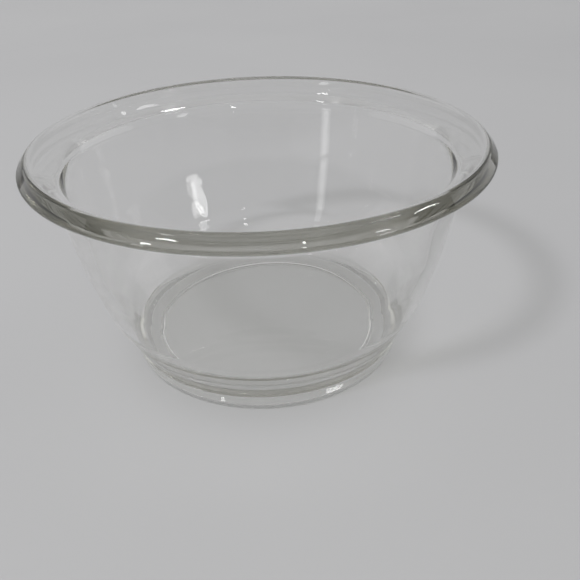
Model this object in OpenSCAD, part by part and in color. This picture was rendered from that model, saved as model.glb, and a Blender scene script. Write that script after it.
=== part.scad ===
/* [Lip] */
// Outside diameter of the lip, the widest part of the bowl
lip_d = 105.5; // [95:0.5:125]
// Drop from the top of the lip to its widest point
lip_edge_drop = 2.55; // [2.2:0.05:4]
// Rounding of the lip's outer edge
lip_edge_round = 0.9; // [0.6:0.05:1.4]
// Width from the widest point in to the crest, where the lip is highest
lip_crest_in = 2.45; // [1.6:0.05:4]
// Rounding of the crest
lip_crest_round = 1.25; // [0.7:0.05:1.5]
// Overhang of the lip past the wall's neck, where the lip's underside begins
lip_overhang = 6.3; // [4:0.05:10]
// Drop from the top of the lip to the neck
neck_drop = 6.65; // [5.5:0.05:10]
// Hollow rounding between the wall and the underside of the lip
neck_round = 0.9; // [0.4:0.1:6]
// Drop from the top of the lip to the throat, where the inside turns out into the lip
throat_drop = 5.1; // [4:0.1:8]
// Rounding of the throat
throat_round = 7; // [1:0.1:10]

/* [Wall] */
// Height of the bowl
bowl_h = 53.4; // [46:0.1:66]
// Outside diameter at the wall's waist, where the steep upper wall begins to draw in
waist_d = 87.4; // [84:0.2:89]
// Height of the waist
waist_h = 29; // [24:0.5:34]
// Rounding of the waist
waist_round = 55; // [10:1:80]
// Outside diameter at the knuckle, where the wall turns in to the foot
knuckle_d = 80.4; // [77:0.2:83]
// Height of the knuckle
knuckle_h = 16.5; // [14:0.5:20]
// Rounding of the knuckle
knuckle_round = 11; // [3:0.5:16]
// Drop from the knuckle to the one inside the bowl
inside_knuckle_drop = 2.9; // [0:0.1:4]
// Rounding of the knuckle inside the bowl
inside_knuckle_round = 14; // [3:0.5:18]
// Thickness of the wall at its throat
throat_t = 2.6; // [1.6:0.1:3.5]
// Thickness of the wall at its waist
waist_t = 2.9; // [1.6:0.1:4]
// Thickness of the wall at its knuckle
knuckle_t = 3.6; // [2:0.1:5]

/* [Base] */
// Outside diameter of the foot where it stands
foot_d = 67.6; // [60:0.2:70]
// Outside diameter of the foot at the step under the wall
step_d = 70; // [66:0.2:74]
// Height of the step
step_h = 5.7; // [4:0.1:9]
// Rounding of the foot's lower edge
foot_round = 1.2; // [0.4:0.1:2]
// Rounding in the step's corner
step_round = 0.9; // [0.2:0.1:1.5]
// Width of the flat ring that the bowl stands on, with its rounded edges
ring_w = 5; // [4:0.1:8]
// Depth of the hollow under the floor
hollow_h = 2.2; // [0.6:0.1:3]
// Width of the slope from the ring up to the hollow
hollow_slope_w = 0.9; // [0.5:0.1:3]
// Rounding at the ring's inner edge
ring_round = 0.5; // [0.2:0.1:1]
// Rounding where the slope meets the underside of the floor
hollow_round = 0.9; // [0.3:0.1:2]
// Thickness of the floor
floor_t = 4; // [3:0.1:7]
// Diameter of the flat of the floor, to its corner with the wall
floor_d = 62; // [52:0.2:64]
// Rounding in the corner between the floor and the wall
floor_round = 5.5; // [1:0.5:8]

/* [Hidden] */
// Angle between two points on a rounded corner
arc_step = 6;
// Clear space past the bowl's outline for the cuts
overrun = 5;
$fn = 180;

lip_r = lip_d / 2;
foot_r = foot_d / 2;
floor_h = hollow_h + floor_t;
hollow_r = foot_r - ring_w - hollow_slope_w;

// The floor is the plain disc inside the hollow's rounding, and the foot ends half way up to the knuckle
disc_r = hollow_r - hollow_round;
heel_h = (floor_h + knuckle_h) / 2;

// Places in the lip as [radius, height]: the neck and the throat, then the centres of the roundings
// on its edge and its crest
neck = [lip_r - lip_overhang, bowl_h - neck_drop];
throat = [neck.x - throat_t, bowl_h - throat_drop];
edge = [lip_r - lip_edge_round, bowl_h - lip_edge_drop];
crest = [lip_r - lip_crest_in, bowl_h - lip_crest_round];

// Directions that the lip's underside, end and inner side face
under_face = facing(neck, 0, edge, lip_edge_round);
end_face = facing(edge, lip_edge_round, crest, lip_crest_round);
inner_face = facing(crest, lip_crest_round, throat, 0);
edge_corner = edge + lip_edge_round * to_corner(under_face, end_face);
crest_corner = crest + lip_crest_round * to_corner(end_face, inner_face);

// Half of the outline, turned about the bowl's axis: each corner is [radius, height, rounding].
// It runs from the hollow under the floor, up the outside, over the lip and down the inside.
corners = [
    [0, hollow_h, 0],
    [hollow_r, hollow_h, hollow_round],
    [foot_r - ring_w, 0, ring_round],
    [foot_r, 0, foot_round],
    [step_d / 2, step_h, step_round],
    [knuckle_d / 2, knuckle_h, knuckle_round],
    [waist_d / 2, waist_h, waist_round],
    [neck.x, neck.y, neck_round],
    [edge_corner.x, edge_corner.y, lip_edge_round],
    [crest_corner.x, crest_corner.y, lip_crest_round],
    [throat.x, throat.y, throat_round],
    [waist_d / 2 - waist_t, waist_h, waist_round],
    [knuckle_d / 2 - knuckle_t, knuckle_h - inside_knuckle_drop, inside_knuckle_round],
    [floor_d / 2, floor_h, floor_round],
    [0, floor_h, 0]
];
last = len(corners) - 1;

// Direction that the straight side over two roundings faces, from their centres and radii in turn
function facing(from, from_r, to, to_r) =
    let (
        away = along(to - from),
        lean = (from_r - to_r) / norm(to - from)
    )
    lean * away + sqrt(1 - lean * lean) * [away.y, -away.x];

// From the centre of a rounding of radius 1 to the corner where its two sides would meet
function to_corner(first_face, second_face) = (first_face + second_face) / (1 + first_face * second_face);

function place(i) = [corners[i].x, corners[i].y];
function along(v) = v / norm(v);
function back(i) = along(place(i - 1) - place(i));
function ahead(i) = along(place(i + 1) - place(i));
function half_angle(i) = acos(back(i) * ahead(i)) / 2;
function on_circle(angle) = [cos(angle), sin(angle)];

// How far a corner's rounding reaches along the two sides that meet there, never past its share of a side
function wanted_reach(i) = i == 0 || i == last ? 0 : corners[i][2] / tan(half_angle(i));
function side_reach(i) = wanted_reach(i) + wanted_reach(i + 1);
function side_share(i) = side_reach(i) > 0 ? norm(place(i + 1) - place(i)) / side_reach(i) : 1;
function reach(i) = wanted_reach(i) * min(1, side_share(i - 1), side_share(i));

// Points on the arc that rounds corner i
function corner_arc(i) =
    let (
        radius = reach(i) * tan(half_angle(i)),
        middle = place(i) + along(back(i) + ahead(i)) * radius / sin(half_angle(i)),
        first = place(i) + back(i) * reach(i) - middle,
        final = place(i) + ahead(i) * reach(i) - middle,
        start = atan2(first.y, first.x),
        turn = atan2(final.y, final.x) - start,
        sweep = turn > 180 ? turn - 360 : turn < -180 ? turn + 360 : turn,
        steps = max(1, ceil(abs(sweep) / arc_step))
    )
    [for (k = [0 : steps]) middle + radius * on_circle(start + sweep * k / steps)];

module outline() {
    polygon([for (i = [0 : last]) each i == 0 || i == last ? [place(i)] : corner_arc(i)]);
}

// Turns the part of the outline that lies between two radii and two heights
module turned(inner_r, outer_r, low_h, high_h) {
    rotate_extrude()
        intersection() {
            outline();
            translate([inner_r, low_h])
                square([outer_r - inner_r, high_h - low_h]);
        }
}

// Flared lip with its rounded edge, down to the neck
module lip() {
    color([0.80, 0.82, 0.78, 0.45])
        turned(0, lip_r + overrun, neck.y, bowl_h + overrun);
}

// Wall from the heel up to the neck
module side_wall() {
    color([0.84, 0.86, 0.84, 0.35])
        turned(0, lip_r + overrun, heel_h, neck.y);
}

// Foot that the bowl stands on, with the step and the heel of the wall above it
module foot() {
    color([0.80, 0.82, 0.78, 0.45])
        turned(disc_r, lip_r + overrun, -overrun, heel_h);
}

// Round floor inside the foot
module base_floor() {
    color([0.84, 0.86, 0.84, 0.35])
        turned(0, disc_r, 0, floor_h + overrun);
}

lip();
side_wall();
foot();
base_floor();
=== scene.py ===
import bpy, math
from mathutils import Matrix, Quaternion, Vector, noise


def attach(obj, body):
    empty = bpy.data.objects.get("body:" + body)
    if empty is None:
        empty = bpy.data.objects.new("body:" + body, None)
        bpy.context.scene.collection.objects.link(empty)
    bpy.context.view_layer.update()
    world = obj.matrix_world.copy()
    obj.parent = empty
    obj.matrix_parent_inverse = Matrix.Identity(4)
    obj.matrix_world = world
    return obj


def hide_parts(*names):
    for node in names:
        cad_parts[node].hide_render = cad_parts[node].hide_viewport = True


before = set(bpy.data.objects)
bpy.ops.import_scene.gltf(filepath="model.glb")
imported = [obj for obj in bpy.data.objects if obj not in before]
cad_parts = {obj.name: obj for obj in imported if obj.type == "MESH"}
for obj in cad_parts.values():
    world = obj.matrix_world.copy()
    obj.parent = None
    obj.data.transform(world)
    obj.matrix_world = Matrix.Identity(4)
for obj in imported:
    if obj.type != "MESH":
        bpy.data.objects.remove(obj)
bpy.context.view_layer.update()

scene = bpy.context.scene
mm = 0.001
tiny = 1e-6
print("frame in:", ", ".join(sorted(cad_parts)))


# Small helpers for node trees

def addNode(tree, kind, **settings):
    node = tree.nodes.new(kind)
    for name, value in settings.items():
        if hasattr(node, name):
            setattr(node, name, value)
        else:
            node.inputs[name].default_value = value
    return node


def join(tree, fromSocket, toSocket):
    tree.links.new(fromSocket, toSocket)


def rampStops(ramp, stops):
    elements = ramp.color_ramp.elements
    while len(elements) < len(stops):
        elements.new(0.5)
    for element, (position, colour) in zip(elements, stops):
        element.position = position
        element.color = tuple(colour) + (1.0,)


# Clear glass: hardly tinted where it is thin, olive where light runs a long way through it

clearGlass = {
    "ior": 1.51,
    "absorbColour": (0.62, 0.615, 0.55),  # what is left, channel by channel
    "absorbDensity": 20.0,                # per metre
    "smearScale": 42.0,                   # wiped patches, about 24 mm across
    "smearFrom": 0.56, "smearTo": 0.74,   # where the patches begin and are full
    "grainScale": 300.0,                  # fine haze inside those patches
    "roughLow": 0.0,
    "roughHigh": 0.02,
    "rippleScale": 70.0,                  # pressed surface, ripples of about 14 mm
    "rippleDepth": 0.00002,
    # light passed on by one surface, by height: the wall gathers a little more onto the cloth,
    # the thick foot and the lip throw some of it aside
    "shadeSpan": 54.0 * mm,
    "shades": [(0.10, (0.905, 0.907, 0.903)), (0.22, (1.075, 1.075, 1.075)),
               (0.84, (1.075, 1.075, 1.075)), (0.89, (0.75, 0.752, 0.74))],
}


def makeClearGlass(spec):
    material = bpy.data.materials.new("clear_glass")
    material.use_nodes = True
    tree = material.node_tree
    tree.nodes.clear()
    place = addNode(tree, "ShaderNodeTexCoord")
    body = addNode(tree, "ShaderNodeBsdfPrincipled")
    body.inputs["Base Color"].default_value = (1.0, 1.0, 1.0, 1.0)
    body.inputs["Transmission Weight"].default_value = 1.0
    body.inputs["IOR"].default_value = spec["ior"]

    # wiped patches: a soft mask times a fine haze sets the roughness
    smear = addNode(tree, "ShaderNodeTexNoise", Scale=spec["smearScale"], Detail=3.0, Roughness=0.55)
    grain = addNode(tree, "ShaderNodeTexNoise", Scale=spec["grainScale"], Detail=2.0, Roughness=0.6)
    mask = addNode(tree, "ShaderNodeMapRange")
    mask.inputs["From Min"].default_value = spec["smearFrom"]
    mask.inputs["From Max"].default_value = spec["smearTo"]
    haze = addNode(tree, "ShaderNodeMath", operation="MULTIPLY")
    rough = addNode(tree, "ShaderNodeMapRange")
    rough.inputs["To Min"].default_value = spec["roughLow"]
    rough.inputs["To Max"].default_value = spec["roughHigh"]
    join(tree, place.outputs["Object"], smear.inputs["Vector"])
    join(tree, place.outputs["Object"], grain.inputs["Vector"])
    join(tree, smear.outputs["Fac"], mask.inputs["Value"])
    join(tree, mask.outputs["Result"], haze.inputs[0])
    join(tree, grain.outputs["Fac"], haze.inputs[1])
    join(tree, haze.outputs["Value"], rough.inputs["Value"])
    join(tree, rough.outputs["Result"], body.inputs["Roughness"])

    # slow ripples of a pressed surface
    ripple = addNode(tree, "ShaderNodeTexNoise", Scale=spec["rippleScale"], Detail=1.0, Roughness=0.4)
    bump = addNode(tree, "ShaderNodeBump", Strength=1.0, Distance=spec["rippleDepth"])
    join(tree, place.outputs["Object"], ripple.inputs["Vector"])
    join(tree, ripple.outputs["Fac"], bump.inputs["Height"])
    join(tree, bump.outputs["Normal"], body.inputs["Normal"])

    # shadow and bounced light pass straight on to the cloth
    height = addNode(tree, "ShaderNodeSeparateXYZ")
    rise = addNode(tree, "ShaderNodeMapRange")
    rise.inputs["From Max"].default_value = spec["shadeSpan"]
    shade = addNode(tree, "ShaderNodeValToRGB")
    rampStops(shade, spec["shades"])
    through = addNode(tree, "ShaderNodeBsdfTransparent")
    rays = addNode(tree, "ShaderNodeLightPath")
    onTable = addNode(tree, "ShaderNodeMath", operation="MAXIMUM")
    mix = addNode(tree, "ShaderNodeMixShader")
    join(tree, place.outputs["Object"], height.inputs["Vector"])
    join(tree, height.outputs["Z"], rise.inputs["Value"])
    join(tree, rise.outputs["Result"], shade.inputs["Fac"])
    join(tree, shade.outputs["Color"], through.inputs["Color"])
    join(tree, rays.outputs["Is Shadow Ray"], onTable.inputs[0])
    join(tree, rays.outputs["Is Diffuse Ray"], onTable.inputs[1])
    join(tree, onTable.outputs["Value"], mix.inputs["Fac"])
    join(tree, body.outputs["BSDF"], mix.inputs[1])
    join(tree, through.outputs["BSDF"], mix.inputs[2])

    tint = addNode(tree, "ShaderNodeVolumeAbsorption")
    tint.inputs["Color"].default_value = spec["absorbColour"] + (1.0,)
    tint.inputs["Density"].default_value = spec["absorbDensity"]
    out = addNode(tree, "ShaderNodeOutputMaterial")
    join(tree, mix.outputs["Shader"], out.inputs["Surface"])
    join(tree, tint.outputs["Volume"], out.inputs["Volume"])
    return material


# The bowl: one pressed piece, turned from half of its outline. Sizes in millimetres

bowl = {
    "lipDiameter": 105.5, "height": 53.4,
    "edgeDrop": 2.55, "edgeRound": 0.9, "crestIn": 2.45, "crestRound": 1.25,
    "overhang": 6.3, "neckDrop": 6.65, "neckRound": 0.9,
    "throatDrop": 5.1, "throatRound": 7.0, "throatWall": 2.6,
    "waistDiameter": 87.4, "waistHeight": 29.0, "waistRound": 55.0, "waistWall": 2.9,
    "knuckleDiameter": 80.4, "knuckleHeight": 16.5, "knuckleRound": 11.0, "knuckleWall": 3.6,
    "insideKnuckleDrop": 2.9, "insideKnuckleRound": 14.0,
    "footDiameter": 67.6, "footRound": 1.2, "stepDiameter": 70.0, "stepHeight": 5.7, "stepRound": 0.9,
    "ringWidth": 5.0, "ringRound": 0.5, "hollowHeight": 2.2, "hollowSlope": 0.9, "hollowRound": 0.9,
    "floorWall": 4.0, "floorDiameter": 62.0, "floorRound": 5.5,
    "arcStep": 3.0,       # degrees between points on a rounding
    "sideStep": 1.6,      # millimetres between points on a straight side
    "around": 288,        # steps round the axis
    "swell": 0.05,        # uneven thickness of the pressed wall
    "swellScale": 0.055,  # per millimetre
    "swellStep": 0.5,     # half of the span that the swell's slope is taken over
    # no swell this near the top and the foot, and the way over which it comes in
    "plainTop": 6.0, "plainTopFade": 6.0, "plainFoot": 2.0, "plainFootFade": 5.0,
}


def sideFacing(start, startRound, end, endRound):
    # direction that the straight side over two roundings faces
    away = (end - start).normalized()
    lean = (startRound - endRound) / (end - start).length
    return away * lean + Vector((away.y, -away.x)) * math.sqrt(1.0 - lean * lean)


def bowlCorners(b):
    lipR = b["lipDiameter"] / 2
    top = b["height"]
    neck = Vector((lipR - b["overhang"], top - b["neckDrop"]))
    throat = Vector((neck.x - b["throatWall"], top - b["throatDrop"]))
    edge = Vector((lipR - b["edgeRound"], top - b["edgeDrop"]))
    crest = Vector((lipR - b["crestIn"], top - b["crestRound"]))
    under = sideFacing(neck, 0.0, edge, b["edgeRound"])
    end = sideFacing(edge, b["edgeRound"], crest, b["crestRound"])
    inner = sideFacing(crest, b["crestRound"], throat, 0.0)
    edgeCorner = edge + (under + end) * (b["edgeRound"] / (1.0 + under.dot(end)))
    crestCorner = crest + (end + inner) * (b["crestRound"] / (1.0 + end.dot(inner)))
    footR = b["footDiameter"] / 2
    hollowR = footR - b["ringWidth"] - b["hollowSlope"]
    floorH = b["hollowHeight"] + b["floorWall"]
    return [
        (0.0, b["hollowHeight"], 0.0),
        (hollowR, b["hollowHeight"], b["hollowRound"]),
        (footR - b["ringWidth"], 0.0, b["ringRound"]),
        (footR, 0.0, b["footRound"]),
        (b["stepDiameter"] / 2, b["stepHeight"], b["stepRound"]),
        (b["knuckleDiameter"] / 2, b["knuckleHeight"], b["knuckleRound"]),
        (b["waistDiameter"] / 2, b["waistHeight"], b["waistRound"]),
        (neck.x, neck.y, b["neckRound"]),
        (edgeCorner.x, edgeCorner.y, b["edgeRound"]),
        (crestCorner.x, crestCorner.y, b["crestRound"]),
        (throat.x, throat.y, b["throatRound"]),
        (b["waistDiameter"] / 2 - b["waistWall"], b["waistHeight"], b["waistRound"]),
        (b["knuckleDiameter"] / 2 - b["knuckleWall"], b["knuckleHeight"] - b["insideKnuckleDrop"],
         b["insideKnuckleRound"]),
        (b["floorDiameter"] / 2, floorH, b["floorRound"]),
        (0.0, floorH, 0.0),
    ]


def bowlOutline(b):
    # points of the half outline, each with the direction that the surface faces there
    corners = bowlCorners(b)
    spots = [Vector(c[:2]) for c in corners]
    last = len(spots) - 1
    back = [None] + [(spots[i - 1] - spots[i]).normalized() for i in range(1, last + 1)]
    ahead = [(spots[i + 1] - spots[i]).normalized() for i in range(last)] + [None]
    half = {i: math.acos(max(-1.0, min(1.0, back[i].dot(ahead[i])))) / 2 for i in range(1, last)}
    wanted = [0.0] + [corners[i][2] / math.tan(half[i]) for i in range(1, last)] + [0.0]
    share = [(spots[i + 1] - spots[i]).length / max(tiny, wanted[i] + wanted[i + 1]) for i in range(last)]
    points = [(spots[0], Vector((0.0, -1.0)))]

    def straightTo(target, facing):
        start = points[-1][0].copy()
        steps = max(1, math.ceil((target - start).length / b["sideStep"]))
        for k in range(1, steps + 1):
            points.append((start.lerp(target, k / steps), facing.copy()))

    for i in range(1, last):
        reach = wanted[i] * min(1.0, share[i - 1], share[i])
        radius = reach * math.tan(half[i])
        middle = spots[i] + (back[i] + ahead[i]).normalized() * (radius / math.sin(half[i]))
        first = spots[i] + back[i] * reach
        final = spots[i] + ahead[i] * reach
        facing = Vector((-back[i].y, back[i].x))
        straightTo(first, facing)
        start = math.atan2(first.y - middle.y, first.x - middle.x)
        sweep = math.atan2(final.y - middle.y, final.x - middle.x) - start
        sweep = (sweep + math.pi) % (2 * math.pi) - math.pi
        steps = max(2, math.ceil(math.degrees(abs(sweep)) / b["arcStep"]))
        for k in range(1, steps + 1):
            angle = start + sweep * k / steps
            ray = Vector((math.cos(angle), math.sin(angle)))
            points.append((middle + ray * radius, ray * (1.0 if sweep > 0 else -1.0)))
    straightTo(spots[last], Vector((0.0, 1.0)))
    return points


def swellAt(b, spot):
    # none at the lip's edge or under the foot, so that the sizes stay
    top = min(1.0, max(0.0, (b["height"] - b["plainTop"] - spot.z) / b["plainTopFade"]))
    low = min(1.0, max(0.0, (spot.z - b["plainFoot"]) / b["plainFootFade"]))
    return b["swell"] * top * low * noise.noise(spot * b["swellScale"])


def makeBowl(b, material):
    outline = bowlOutline(b)
    count = b["around"]
    step = b["swellStep"]
    vertices, facings, rings = [], [], []

    def addSpot(spot, facing):
        shift = swellAt(b, spot)
        sideA = facing.orthogonal().normalized()
        sideB = facing.cross(sideA)
        slopeA = (swellAt(b, spot + sideA * step) - swellAt(b, spot - sideA * step)) / (2 * step)
        slopeB = (swellAt(b, spot + sideB * step) - swellAt(b, spot - sideB * step)) / (2 * step)
        vertices.append((spot + facing * shift) * mm)
        facings.append((facing - sideA * slopeA - sideB * slopeB).normalized())

    for point, facing in outline:
        begin = len(vertices)
        if point.x < tiny:
            addSpot(Vector((0.0, 0.0, point.y)), Vector((0.0, 0.0, facing.y)))
            rings.append([begin])
            continue
        for k in range(count):
            turn = 2 * math.pi * k / count
            c, s = math.cos(turn), math.sin(turn)
            addSpot(Vector((point.x * c, point.x * s, point.y)),
                    Vector((facing.x * c, facing.x * s, facing.y)))
        rings.append(list(range(begin, begin + count)))
    faces = []
    for lower, upper in zip(rings, rings[1:]):
        for k in range(count):
            n = (k + 1) % count
            if len(lower) == 1:
                faces.append((lower[0], upper[n], upper[k]))
            elif len(upper) == 1:
                faces.append((lower[k], lower[n], upper[0]))
            else:
                faces.append((lower[k], lower[n], upper[n], upper[k]))
    mesh = bpy.data.meshes.new("glass_bowl")
    mesh.from_pydata(vertices, [], faces)
    mesh.update()
    mesh.polygons.foreach_set("use_smooth", [True] * len(mesh.polygons))
    mesh.normals_split_custom_set_from_vertices(facings)
    mesh.materials.append(material)
    piece = bpy.data.objects.new("glass_bowl", mesh)
    scene.collection.objects.link(piece)
    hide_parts("lip", "side_wall", "foot", "base_floor")
    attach(piece, "root")
    return piece


glassBowl = makeBowl(bowl, makeClearGlass(clearGlass))
print("bowl turned:", len(glassBowl.data.vertices), "points")


# Plain pale backdrop, seen past the glass and straight through it, but not mirrored in it

backdrop = (0.47, 0.47, 0.475)


def plainSight(tree):
    rays = addNode(tree, "ShaderNodeLightPath")
    unmirrored = addNode(tree, "ShaderNodeMath", operation="LESS_THAN")
    unmirrored.inputs[1].default_value = 0.5  # no mirror met yet
    through = addNode(tree, "ShaderNodeMath", operation="MULTIPLY")
    sight = addNode(tree, "ShaderNodeMath", operation="MAXIMUM")
    join(tree, rays.outputs["Glossy Depth"], unmirrored.inputs[0])
    join(tree, rays.outputs["Is Transmission Ray"], through.inputs[0])
    join(tree, unmirrored.outputs["Value"], through.inputs[1])
    join(tree, rays.outputs["Is Camera Ray"], sight.inputs[0])
    join(tree, through.outputs["Value"], sight.inputs[1])
    return sight.outputs["Value"]


# Table cloth, which passes into the backdrop far from the bowl

tableCloth = {
    "size": 12.0,
    "fadeFrom": 0.75, "fadeTo": 1.4,  # metres from the bowl
    "tones": [(0.35, (0.470, 0.470, 0.476)), (0.65, (0.486, 0.486, 0.491))],
    "toneScale": 5.0,
    "weaveScale": 2600.0,
    "weaveDepth": 0.00003,
    "weaveStrength": 0.35,
    "roughness": 0.95,
    "specular": 0.1,
}


def makeCloth(spec):
    material = bpy.data.materials.new("table_cloth")
    material.use_nodes = True
    tree = material.node_tree
    body = tree.nodes["Principled BSDF"]
    body.inputs["Roughness"].default_value = spec["roughness"]
    body.inputs["Specular IOR Level"].default_value = spec["specular"]
    place = addNode(tree, "ShaderNodeTexCoord")
    patch = addNode(tree, "ShaderNodeTexNoise", Scale=spec["toneScale"], Detail=3.0, Roughness=0.5)
    tone = addNode(tree, "ShaderNodeValToRGB")
    rampStops(tone, spec["tones"])
    weave = addNode(tree, "ShaderNodeTexNoise", Scale=spec["weaveScale"], Detail=2.0, Roughness=0.6)
    bump = addNode(tree, "ShaderNodeBump", Strength=spec["weaveStrength"], Distance=spec["weaveDepth"])
    join(tree, place.outputs["Object"], patch.inputs["Vector"])
    join(tree, place.outputs["Object"], weave.inputs["Vector"])
    join(tree, patch.outputs["Fac"], tone.inputs["Fac"])
    join(tree, tone.outputs["Color"], body.inputs["Base Color"])
    join(tree, weave.outputs["Fac"], bump.inputs["Height"])
    join(tree, bump.outputs["Normal"], body.inputs["Normal"])

    # far away it takes on the backdrop's colour
    away = addNode(tree, "ShaderNodeVectorMath", operation="LENGTH")
    fade = addNode(tree, "ShaderNodeMapRange", interpolation_type="SMOOTHSTEP")
    fade.inputs["From Min"].default_value = spec["fadeFrom"]
    fade.inputs["From Max"].default_value = spec["fadeTo"]
    share = addNode(tree, "ShaderNodeMath", operation="MULTIPLY")
    pale = addNode(tree, "ShaderNodeEmission", Strength=1.0)
    pale.inputs["Color"].default_value = backdrop + (1.0,)
    mix = addNode(tree, "ShaderNodeMixShader")
    join(tree, place.outputs["Object"], away.inputs[0])
    join(tree, away.outputs["Value"], fade.inputs["Value"])
    join(tree, fade.outputs["Result"], share.inputs[0])
    join(tree, plainSight(tree), share.inputs[1])
    join(tree, share.outputs["Value"], mix.inputs["Fac"])
    join(tree, body.outputs["BSDF"], mix.inputs[1])
    join(tree, pale.outputs["Emission"], mix.inputs[2])
    join(tree, mix.outputs["Shader"], tree.nodes["Material Output"].inputs["Surface"])
    material.cycles.emission_sampling = "NONE"
    half = spec["size"] / 2
    square = [(-half, -half, 0), (half, -half, 0), (half, half, 0), (-half, half, 0)]
    mesh = bpy.data.meshes.new("table_cloth")
    mesh.from_pydata(square, [], [(0, 1, 2, 3)])
    mesh.materials.append(material)
    cloth = bpy.data.objects.new("table_cloth", mesh)
    scene.collection.objects.link(cloth)
    return cloth


makeCloth(tableCloth)
print("cloth laid")


# Soft room light, paler behind the bowl than on the camera's side

room = {
    "behind": [(0.0, (0.44, 0.44, 0.44)), (1.0, (0.44, 0.44, 0.445))],
    "camera": [(0.0, (0.18, 0.18, 0.175)), (0.6, (0.42, 0.42, 0.42)), (1.0, (0.44, 0.44, 0.445))],
    "blend": 0.45,  # how far to each side the two pass over
}


def lightRoom(spec):
    world = bpy.data.worlds.new("soft_room")
    world.use_nodes = True
    tree = world.node_tree
    sky = tree.nodes["Background"]
    place = addNode(tree, "ShaderNodeTexCoord")
    split = addNode(tree, "ShaderNodeSeparateXYZ")
    behind = addNode(tree, "ShaderNodeValToRGB")
    camera = addNode(tree, "ShaderNodeValToRGB")
    rampStops(behind, spec["behind"])
    rampStops(camera, spec["camera"])
    side = addNode(tree, "ShaderNodeMapRange")
    side.inputs["From Min"].default_value = -spec["blend"]
    side.inputs["From Max"].default_value = spec["blend"]
    blend = addNode(tree, "ShaderNodeMix", data_type="RGBA")
    join(tree, place.outputs["Generated"], split.inputs["Vector"])
    join(tree, split.outputs["Z"], behind.inputs["Fac"])
    join(tree, split.outputs["Z"], camera.inputs["Fac"])
    join(tree, split.outputs["Y"], side.inputs["Value"])
    join(tree, side.outputs["Result"], blend.inputs[0])
    join(tree, camera.outputs["Color"], blend.inputs[6])
    join(tree, behind.outputs["Color"], blend.inputs[7])
    seen = addNode(tree, "ShaderNodeMix", data_type="RGBA")
    seen.inputs[7].default_value = backdrop + (1.0,)
    join(tree, plainSight(tree), seen.inputs[0])
    join(tree, blend.outputs[2], seen.inputs[6])
    join(tree, seen.outputs[2], sky.inputs["Color"])
    scene.world = world


lightRoom(room)
print("room lit")


# Lamps over the cloth, and panels that show only in the glass. Angles in degrees, lengths in metres

lamps = {
    "ceiling": {"azimuth": 0.0, "elevation": 48.0, "distance": 1.80, "width": 2.2, "tall": 2.2,
                "glow": 1.1, "tableOnly": True},
    "leftLamp": {"azimuth": -135.6, "elevation": 47.5, "distance": 1.37, "width": 0.15, "tall": 0.15,
                 "glow": 110.0, "tableOnly": True},
    "lowPanel": {"azimuth": -133.4, "elevation": 13.5, "distance": 0.28, "width": 0.025, "tall": 0.105,
                 "glow": 1.9, "glossOnly": True},
    "rightPanel": {"azimuth": 127.0, "elevation": 7.2, "distance": 0.566, "width": 0.100, "tall": 0.037,
                   "glow": 5.2, "shape": "ELLIPSE", "glossOnly": True},
    "rightPost": {"azimuth": 125.0, "elevation": 17.2, "distance": 0.572, "width": 0.07, "tall": 0.16,
                  "glow": 3.5, "glossOnly": True},
    "leftSide": {"azimuth": -72.0, "elevation": 18.0, "distance": 0.90, "width": 1.04, "tall": 0.58,
                 "glow": 0.40, "shape": "ELLIPSE", "glossOnly": True},
    "rightSide": {"azimuth": 64.0, "elevation": 14.0, "distance": 0.90, "width": 0.80, "tall": 0.50,
                  "glow": 0.52, "shape": "ELLIPSE", "glossOnly": True},
}

# Small bright strips that make the dashes and dots in the glass, each turned about its own axis by its tilt.
# Their angles were traced outside this script, from the photograph's highlights back off the glass, and rounded
strips = {
    "lipLeft": {"azimuth": -133.0, "elevation": 45.46, "distance": 0.666, "tilt": 20,
                "width": 0.096, "tall": 0.0014, "glow": 18.0},
    "lipLeftLow": {"azimuth": -123.87, "elevation": 42.16, "distance": 0.664, "tilt": 24,
                   "width": 0.050, "tall": 0.0017, "glow": 18.0},
    "lipDot": {"azimuth": 156.6, "elevation": 50.3, "distance": 0.672, "tilt": -10,
               "width": 0.014, "tall": 0.0023, "glow": 22.0},
    "lipRight": {"azimuth": 118.33, "elevation": 41.97, "distance": 0.663, "tilt": -24.4,
                 "width": 0.076, "tall": 0.0015, "glow": 8.0},
    "lipFarRight": {"azimuth": 94.75, "elevation": 33.39, "distance": 0.651, "tilt": -29.2,
                    "width": 0.146, "tall": 0.0013, "glow": 15.0},
    "backDash": {"azimuth": -75.8, "elevation": 73.7, "distance": 0.64, "tilt": 62,
                 "width": 0.044, "tall": 0.0054, "glow": 10.0},
    "backSmall": {"azimuth": -72.2, "elevation": 74.0, "distance": 0.65, "tilt": 67,
                  "width": 0.029, "tall": 0.0037, "glow": 2.6},
    "leftLong": {"azimuth": 53.5, "elevation": 62.1, "distance": 0.64, "tilt": -56,
                 "width": 0.092, "tall": 0.0034, "glow": 3.2},
    "leftShort": {"azimuth": 66.2, "elevation": 70.3, "distance": 0.64, "tilt": -62,
                  "width": 0.041, "tall": 0.0042, "glow": 2.0},
    "leftDot": {"azimuth": 44.2, "elevation": 55.0, "distance": 0.64, "tilt": -53,
                "width": 0.020, "tall": 0.0044, "glow": 3.8},
    "leftTop": {"azimuth": 41.9, "elevation": 54.9, "distance": 0.64, "tilt": -40,
                "width": 0.012, "tall": 0.0048, "glow": 1.6},
    "backDot": {"azimuth": 93.6, "elevation": 83.6, "distance": 0.65, "tilt": -66,
                "width": 0.009, "tall": 0.0043, "glow": 6.0},
    "footFront": {"azimuth": -131.6, "elevation": 47.7, "distance": 0.62, "tilt": 3,
                  "width": 0.055, "tall": 0.030, "glow": 12.0},
    "footRight": {"azimuth": 110.0, "elevation": 47.8, "distance": 0.62, "tilt": -2,
                  "width": 0.159, "tall": 0.030, "glow": 22.0},
    "insideDot": {"azimuth": 161.2, "elevation": 24.0, "distance": 0.57, "tilt": -22,
                  "width": 0.025, "tall": 0.080, "glow": 14.0},
}


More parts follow.
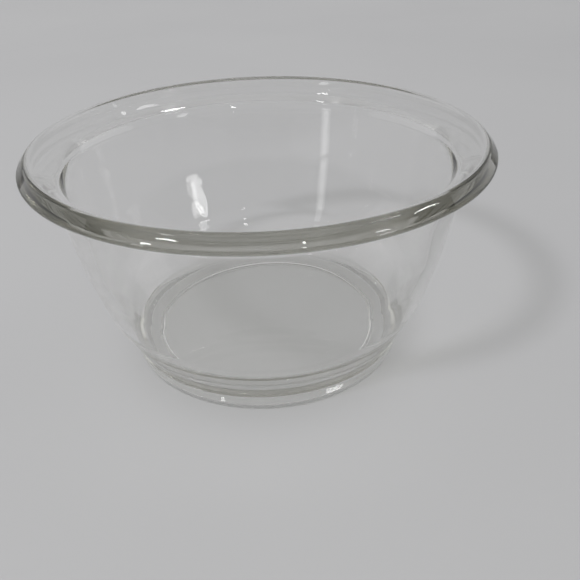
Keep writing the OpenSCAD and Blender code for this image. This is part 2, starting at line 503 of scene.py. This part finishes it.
def placeLamp(name, spec):
    data = bpy.data.lights.new(name, "AREA")
    data.shape = spec.get("shape", "RECTANGLE")
    data.size = spec["width"]
    data.size_y = spec["tall"]
    data.energy = spec["glow"] * math.pi * spec["width"] * spec["tall"]
    lamp = bpy.data.objects.new(name, data)
    scene.collection.objects.link(lamp)
    turn, lift = math.radians(spec["azimuth"]), math.radians(spec["elevation"])
    away = Vector((math.cos(lift) * math.sin(turn), math.cos(lift) * math.cos(turn), math.sin(lift)))
    lamp.location = away * spec["distance"]
    tilt = Quaternion((0.0, 0.0, 1.0), math.radians(spec.get("tilt", 0.0)))
    lamp.rotation_euler = ((-away).to_track_quat("-Z", "Y") @ tilt).to_euler()
    lamp.visible_diffuse = not spec.get("glossOnly", False)
    lamp.visible_glossy = lamp.visible_transmission = not spec.get("tableOnly", False)


for lampName, lampSpec in lamps.items():
    placeLamp(lampName, lampSpec)
for stripName, stripSpec in strips.items():
    placeLamp(stripName, {"shape": "ELLIPSE", "glossOnly": True, **stripSpec})
print("lamps set:", len(lamps) + len(strips))


# Camera, worked out from the photograph's rim and wall lines

view = {
    "imageSide": 580, "focalPixels": 650.0, "sensor": 36.0,
    "spot": (6.16, -144.29, 100.93),  # millimetres
    "down": 31.97, "roll": -1.589,    # degrees
    "nearest": 0.001,
}


def setCamera(spec):
    data = bpy.data.cameras.new("photo_view")
    data.sensor_fit = "HORIZONTAL"
    data.sensor_width = spec["sensor"]
    data.lens = spec["sensor"] * spec["focalPixels"] / spec["imageSide"]
    data.clip_start = spec["nearest"]
    camera = bpy.data.objects.new("photo_view", data)
    scene.collection.objects.link(camera)
    camera.location = Vector(spec["spot"]) * mm
    camera.rotation_mode = "ZYX"  # the roll first, then the lean
    camera.rotation_euler = (math.radians(90.0 - spec["down"]), 0.0, math.radians(spec["roll"]))
    scene.camera = camera


setCamera(view)
scene.view_settings.view_transform = "Standard"
cycles = scene.cycles
cycles.max_bounces = 64           # light goes round inside the lip and the foot many times
cycles.transmission_bounces = 48
cycles.glossy_bounces = 48
cycles.transparent_max_bounces = 24
cycles.caustics_reflective = False
cycles.caustics_refractive = False
print("camera set")
